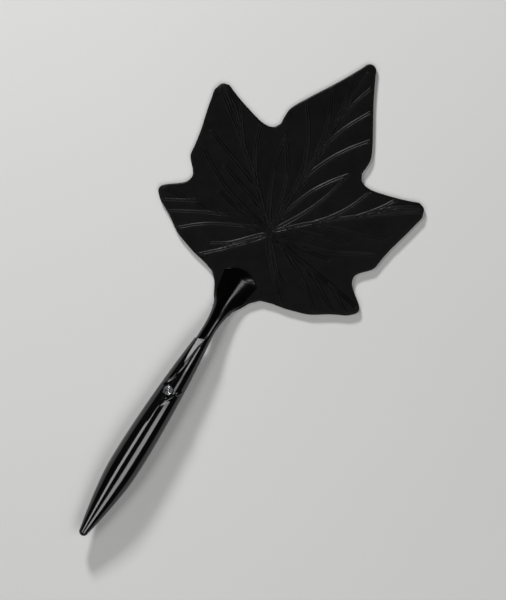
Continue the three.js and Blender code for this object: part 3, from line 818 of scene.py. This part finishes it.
def hollow_radius(y):
    """Radius of the hollow: it narrows to nothing at the solid butt and to the spigot's bore at the mouth."""
    solid_end = BUTT_Y + SOLID_BUTT
    radius = float(handle_radius(max(y, solid_end))) - WALL
    if y < solid_end:
        radius *= HOLLOW_TIP + (1 - HOLLOW_TIP) * (y - BUTT_Y) / SOLID_BUTT
    return radius + (BORE - radius) * float(smoothstep(y, BORE_END_Y - 1, BORE_END_Y))


def handle_shell(sign, drop):
    """One half of the hollow handle. sign is 1 for the front, -1 for the back."""
    angles = np.linspace(0, math.pi, HANDLE_ANGLES)
    across, up = np.cos(angles), sign * np.sin(angles)
    ys = handle_stations()
    grid_theta, grid_y = np.meshgrid(math.pi / 2 - angles, ys)
    out_y = grid_y + shoulder_shift(grid_y, handle_radius(grid_y) * across[None])
    round_radius = handle_radius(out_y)
    out_radius = handle_sculpt(grid_theta, out_y, round_radius) if sign > 0 else round_radius

    def ring(radius, y, inner_radius, inner_y):
        """The outer face from right to left, then the face of the hollow back again."""
        outer = np.column_stack([radius * across, y, AXIS_Z - drop + radius * up])
        inner_x = inner_radius * across
        shifted = inner_y + shoulder_shift(inner_y, inner_x)
        inner = np.column_stack([inner_x, shifted, AXIS_Z - drop + inner_radius * up])
        return np.vstack([outer, inner[::-1]])

    rings = []
    for y, radius, place in zip(ys, out_radius, out_y):
        rings.append(ring(radius, place, hollow_radius(y), max(y, BUTT_Y + SOLID_BUTT)))
    for a in np.linspace(0.3, math.pi / 2, 5):
        radius = out_radius[-1] - ROUND * (1 - math.cos(a))
        place = out_y[-1] + ROUND * (math.sin(a) - 0.4)
        rings.append(ring(radius, place, BORE, SHOULDER_Y - SEAM + ROUND * 0.3 * a))
    return loft(rings)


def upright_cutter(x, y, z0, z1, radius, top_radius=None, sides=48):
    """A closed cone or cylinder, as a mesh object that only cuts."""
    top_radius = radius if top_radius is None else top_radius
    work = bmesh.new()
    size = {"radius1": radius * MM, "radius2": top_radius * MM, "depth": (z1 - z0) * MM}
    bmesh.ops.create_cone(work, cap_ends=True, segments=sides, **size)
    bmesh.ops.translate(work, verts=work.verts, vec=Vector((x, y, (z0 + z1) / 2)) * MM)
    mesh = bpy.data.meshes.new("cutter")
    work.to_mesh(mesh)
    work.free()
    cutter = bpy.data.objects.new("cutter", mesh)
    bpy.context.scene.collection.objects.link(cutter)
    return cutter


def cut(piece, cutters, sharp=35):
    """Cuts holes into a piece and applies the result."""
    for cutter in cutters:
        modifier = piece.modifiers.new("cut", "BOOLEAN")
        modifier.operation = "DIFFERENCE"
        modifier.solver = "EXACT"
        modifier.object = cutter
    depsgraph = bpy.context.evaluated_depsgraph_get()
    made = bpy.data.meshes.new_from_object(piece.evaluated_get(depsgraph))
    piece.modifiers.clear()
    piece.data = made
    made.shade_smooth()
    made.set_sharp_from_angle(angle=math.radians(sharp))
    for cutter in cutters:
        bpy.data.objects.remove(cutter)


def middle_of(box):
    """The middle of a node's box, seen from above."""
    return (box[0][:2] + box[1][:2]) / 2


def radius_of(box):
    return (box[1][0] - box[0][0]) / 2


BADGE = node_box("emblem_badge")
BADGE_X, BADGE_Y = middle_of(BADGE)
BADGE_RADIUS = radius_of(BADGE)
BADGE_CUT = (AXIS_Z + 6.75, AXIS_Z + 12)  # lowest and highest height of its recess's cutter
PLUGS = {name: node_box("screw_plug_" + name) for name in ("upper", "middle", "lower")}
PLUG_CUT = (-3, AXIS_Z - 4.6)
SCREWS = {name: node_box("yoke_screw_" + name) for name in ("left", "right", "centre")}
FIT_GAP = 0.25


def handle_front_piece():
    vertices, faces = handle_shell(1, 0)
    piece = make_piece("handle_front", vertices, faces, GLOSS, "gloss_shell", ["handle_front_shell"])
    cut(piece, [upright_cutter(BADGE_X, BADGE_Y, *BADGE_CUT, BADGE_RADIUS + FIT_GAP)])


def handle_back_piece():
    vertices, faces = handle_shell(-1, SEAM)
    piece = make_piece("handle_back", vertices, faces, GLOSS, "gloss_shell", ["handle_back_shell"])
    gaps = [(middle_of(plug), radius_of(plug) + FIT_GAP) for plug in PLUGS.values()]
    cut(piece, [upright_cutter(*middle, *PLUG_CUT, radius) for middle, radius in gaps])


handle_front_piece()
handle_back_piece()

# ---------------------------------------------------------------- badge, plugs and screws


POLE = 0.02  # a round mesh closes at a ring of this radius, and a disc's inner face at this part of its own


def draped_disc(centre, radius, relief, depth, sign, rings, spokes):
    """Mesh of a round inlay that follows the handle's surface, with a relief round its middle."""
    a = np.arange(spokes) * 2 * math.pi / spokes
    rows = []
    for rho in np.linspace(POLE, radius, rings):
        x, y = centre[0] + rho * np.cos(a), centre[1] + rho * np.sin(a)
        surface = np.sqrt(np.maximum(handle_radius(y) ** 2 - x**2, 0))
        rows.append(np.column_stack([x, y, AXIS_Z + sign * (surface + relief(rho))]))
    bottom = rows[-1].copy()
    bottom[:, 2] -= sign * depth
    inner = bottom.copy()
    inner[:, :2] = np.array(centre) + (inner[:, :2] - np.array(centre)) * POLE
    return loft(rows + [bottom, inner])


# The badge's mark: a dot in two rings, each given as (radius, height, softness, half width of its metal)
BADGE_MARK = ((0, 0.3, 0.6, 0.62), (1.45, 0.2, 0.24, 0.2), (2.45, 0.26, 0.3, 0.26))
BADGE_FACE = -0.18  # its face lies this far under the round handle
BADGE_EDGE = (0.2, 0.25)  # depth and width of its rounded edge
BADGE_THICKNESS = 0.7
BADGE_COUNTS = (60, 120)  # rings and spokes of its mesh
MARK_FACING = 0.3  # faces of the mark turn at least this much to the front


def badge_relief(rho):
    face = BADGE_FACE - BADGE_EDGE[0] * smoothstep(rho, BADGE_RADIUS - BADGE_EDGE[1], BADGE_RADIUS)
    return face + sum(height * bump(rho - radius, softness) for radius, height, softness, _ in BADGE_MARK)


def badge_piece():
    mesh = draped_disc((BADGE_X, BADGE_Y), BADGE_RADIUS, badge_relief, BADGE_THICKNESS, 1, *BADGE_COUNTS)
    badge = make_piece("handle_badge", *mesh, GLOSS, "badge", ["emblem_badge"], sharp=50)
    badge.data.materials.append(BADGE_METAL)
    for polygon in badge.data.polygons:
        rho = math.hypot(polygon.center.x / MM - BADGE_X, polygon.center.y / MM - BADGE_Y)
        on_mark = any(abs(rho - radius) < half for radius, _, _, half in BADGE_MARK)
        polygon.material_index = int(on_mark and polygon.normal.z > MARK_FACING)


PLUG_SINK = 0.05  # its face lies this far under the round handle
PLUG_DISH = (0.25, 0.8)  # depth and width of the dimple in a plug
PLUG_EDGE = (1.6, 1.9)  # its rounded edge falls away between these distances from its middle
PLUG_EDGE_DEPTH = 0.25
PLUG_THICKNESS = 1.4
PLUG_COUNTS = (24, 48)


def plug_relief(rho):
    dish = PLUG_DISH[0] * bump(rho, PLUG_DISH[1])
    return -PLUG_SINK - dish - PLUG_EDGE_DEPTH * smoothstep(rho, *PLUG_EDGE)


badge_piece()
for place, plug in PLUGS.items():
    mesh = draped_disc(middle_of(plug), radius_of(plug), plug_relief, PLUG_THICKNESS, -1, *PLUG_COUNTS)
    make_piece("plug_" + place, *mesh, PLUG, "plug", ["screw_plug_" + place], sharp=50)

SCREW_SIDES = 40
THREAD = (1.0, 0.82, 0.4)  # outer radius, root radius and pitch
THREAD_RUNOUT = 0.4  # the thread stops this far from the end
HEAD_EDGE = 0.25
HEAD_HEIGHTS = (0.1, 0.22, 1.0)  # of the head's face, its rim and the end of its cone
SCREW_END = (0.75, 0.3)  # radius and length of the blunt end
RECESS = (2.1, 0.42, 0.75)  # length and width of a screw's cross recess, and the height it reaches
RECESS_TAPER = 0.8


def screw_profile(head, top):
    """(radius, height) pairs up a screw, head down, from the middle of the head to the tip."""
    outer, root, pitch = THREAD
    face, rim, z = HEAD_HEIGHTS
    profile = [(POLE, face), (head - HEAD_EDGE, face), (head, rim), (outer, z)]
    while z + pitch < top - THREAD_RUNOUT:
        profile += [(outer, z), (root, z + pitch / 2)]
        z += pitch
    return profile + [(SCREW_END[0], top - SCREW_END[1]), (POLE, top)]


def recess_cutter(x, y, along_x, along_y):
    """A four-sided tapered block, made by turning and stretching a four-sided cone."""
    cutter = upright_cutter(x, y, -0.5, RECESS[2], 1, RECESS_TAPER, 4)
    turn = math.radians(45)
    for vertex in cutter.data.vertices:
        dx, dy = vertex.co.x / MM - x, vertex.co.y / MM - y
        turned_x = (dx * math.cos(turn) - dy * math.sin(turn)) * along_x / math.sqrt(2)
        turned_y = (dx * math.sin(turn) + dy * math.cos(turn)) * along_y / math.sqrt(2)
        vertex.co.x = (x + turned_x) * MM
        vertex.co.y = (y + turned_y) * MM
    return cutter


def clamp_screw_piece(place, box):
    """A countersunk screw with a cross recess in its head."""
    x, y = middle_of(box)
    a = np.arange(SCREW_SIDES) * 2 * math.pi / SCREW_SIDES
    rings = []
    for radius, height in screw_profile(radius_of(box), box[1][2]):
        heights = np.full(SCREW_SIDES, height)
        rings.append(np.column_stack([x + radius * np.cos(a), y + radius * np.sin(a), heights]))
    mesh = loft(rings)
    piece = make_piece("clamp_screw_" + place, *mesh, STEEL, "steel", ["yoke_screw_" + place], sharp=30)
    long, wide, _ = RECESS
    cut(piece, [recess_cutter(x, y, long, wide), recess_cutter(x, y, wide, long)], 30)


for place, box in SCREWS.items():
    clamp_screw_piece(place, box)
SEAT = (-0.2, 1.3)  # lowest and highest height of the countersunk seats' cutters
SEAT_BORE = 1.1
SEAT_GAP = FIT_GAP + 0.1
seats = [(middle_of(box), radius_of(box) + SEAT_GAP) for box in SCREWS.values()]
cut(neck_back, [upright_cutter(*middle, *SEAT, radius, SEAT_BORE) for middle, radius in seats])

# ---------------------------------------------------------------- camera, light and floor

OBJECT_ANGLE = math.radians(31.84)  # the handle leans this far to the right of upright
VIEW_CENTRE = Vector((13.36 * MM, 8.30 * MM, 0))
VIEW_HEIGHT = 368.8 * MM
CAMERA_DISTANCE = 3.0  # above AIM_HEIGHT
AIM_HEIGHT = 5 * MM


def add_camera():
    """Looks straight down on the object, from so far that it hardly shows any perspective."""
    data = bpy.data.cameras.new("camera")
    data.sensor_fit = "VERTICAL"
    data.angle = 2 * math.atan(VIEW_HEIGHT / 2 / CAMERA_DISTANCE)
    data.clip_end = 20
    camera = bpy.data.objects.new("camera", data)
    camera.location = VIEW_CENTRE + Vector((0, 0, CAMERA_DISTANCE + AIM_HEIGHT))
    camera.rotation_euler = (0, 0, OBJECT_ANGLE)
    bpy.context.scene.collection.objects.link(camera)
    bpy.context.scene.camera = camera


FLOOR_HALF = 3.0
FLOOR_DARK = (0.31, 0.31, 0.307)
FLOOR_LIGHT = (0.33, 0.33, 0.327)


def add_floor():
    mesh = bpy.data.meshes.new("floor")
    corners = [(x * FLOOR_HALF, y * FLOOR_HALF, 0) for x, y in ((-1, -1), (1, -1), (1, 1), (-1, 1))]
    mesh.from_pydata(corners, [], [(0, 1, 2, 3)])
    material, nodes, links, shader = new_material("pale_floor")
    cloud = noise(nodes, links, 3, 3, 0.5, object_coords(nodes))
    links.new(mix_colour(nodes, links, cloud, FLOOR_DARK, FLOOR_LIGHT), shader.inputs["Base Color"])
    shader.inputs["Roughness"].default_value = 0.9
    mesh.materials.append(material)
    floor = bpy.data.objects.new("floor", mesh)
    bpy.context.scene.collection.objects.link(floor)


WORLD_STRENGTH = 0.025


def add_world():
    world = bpy.data.worlds.new("world")
    world.use_nodes = True
    background = world.node_tree.nodes["Background"]
    background.inputs["Color"].default_value = (1, 1, 1, 1)
    background.inputs["Strength"].default_value = WORLD_STRENGTH
    bpy.context.scene.world = world


def add_area(name, size, location, target, power):
    """A rectangular light. Where it faces down or sideways in X, the first of its sizes runs along Y."""
    data = bpy.data.lights.new(name, "AREA")
    data.shape = "RECTANGLE"
    data.size, data.size_y = size
    data.energy = power
    light = bpy.data.objects.new(name, data)
    light.location = location
    light.rotation_euler = (Vector(target) - Vector(location)).to_track_quat("-Z", "Y").to_euler()
    bpy.context.scene.collection.objects.link(light)
    return light


def power_of(size, radiance):
    """Watts that make a rectangular light as bright as this."""
    return radiance * size[0] * size[1] * math.pi


def keep_off_neck(light):
    """The light falls on everything but the neck, whose own two lights give it one soft streak."""
    skipped = bpy.data.collections.new(light.name + "_skips")
    skipped.objects.link(neck_front)
    skipped.objects.link(neck_back)
    for entry in skipped.collection_objects:
        entry.light_linking.link_state = "EXCLUDE"
    light.light_linking.receiver_collection = skipped


# Soft rectangular lights overhead, each parallel to the handle: name, x, from y, to y, width and radiance.
# The first four make the two streaks along the handle, and the last two make the streak on the neck.
LIGHT_HEIGHT = 1.2
OVERHEADS = [
    ("left_strip", -0.64, -1.3, 0.0, 0.42, 6.4),
    ("right_strip", 0.66, -1.3, 0.03, 0.66, 5.6),
    ("right_faint", 0.6, 0.05, 0.11, 0.45, 4),
    ("right_fainter", 0.55, 0.11, 0.175, 0.35, 2.4),
    ("tongue_light", 0.5, 0.14, 0.32, 0.44, 5),
    ("neck_light", 1.02, 0.64, 0.97, 0.64, 4.6),
]
NECK_LIGHTS = ("tongue_light", "neck_light")


def add_overheads():
    """Each faces the line under it that the handle lies on."""
    for name, x, y_from, y_to, width, radiance in OVERHEADS:
        size = (y_to - y_from, width)
        middle = (y_from + y_to) / 2
        light = add_area(name, size, (x, middle, LIGHT_HEIGHT), (0, middle, 0), power_of(size, radiance))
        if name not in NECK_LIGHTS:
            keep_off_neck(light)


# A small light close over the left side, which the flat at the top of the handle reflects
FLAT_LIGHT = (-0.157, 0.033, 0.3)
FLAT_LIGHT_TARGET = (0, -0.04, AXIS_Z * MM)
FLAT_LIGHT_SIZE = (0.028, 0.044)
FLAT_LIGHT_RADIANCE = 9.5

# A light low on the left, which the leaf's veins catch
SIDE_AZIMUTH = math.radians(142)
SIDE_HEIGHT = math.radians(27)
SIDE_DISTANCE = 1.5
SIDE_TARGET = Vector((0, 0.08, 0))
SIDE_SIZE = (0.26, 0.2)
SIDE_POWER = 45


def add_flat_light():
    power = power_of(FLAT_LIGHT_SIZE, FLAT_LIGHT_RADIANCE)
    keep_off_neck(add_area("flat_light", FLAT_LIGHT_SIZE, FLAT_LIGHT, FLAT_LIGHT_TARGET, power))


def add_side_light():
    level = SIDE_DISTANCE * math.cos(SIDE_HEIGHT)
    rise = SIDE_DISTANCE * math.sin(SIDE_HEIGHT)
    place = SIDE_TARGET + Vector((level * math.cos(SIDE_AZIMUTH), level * math.sin(SIDE_AZIMUTH), rise))
    keep_off_neck(add_area("side_light", SIDE_SIZE, place, SIDE_TARGET, SIDE_POWER))


add_camera()
add_floor()
add_world()
add_overheads()
add_flat_light()
add_side_light()

# ---------------------------------------------------------------- inner pieces, which keep their CAD shapes

INNER_LOOKS = {
    "leaf_core_plate": CORE,
    "tang_rod": STEEL,
    "neck_cross_pin": STEEL,
    "handle_cross_pin": STEEL,
    "handle_screw_upper": STEEL,
    "handle_screw_middle": STEEL,
    "handle_screw_lower": STEEL,
}
for name, look in INNER_LOOKS.items():
    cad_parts[name].data.materials.clear()
    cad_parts[name].data.materials.append(look)

bpy.context.scene.view_settings.view_transform = "Standard"
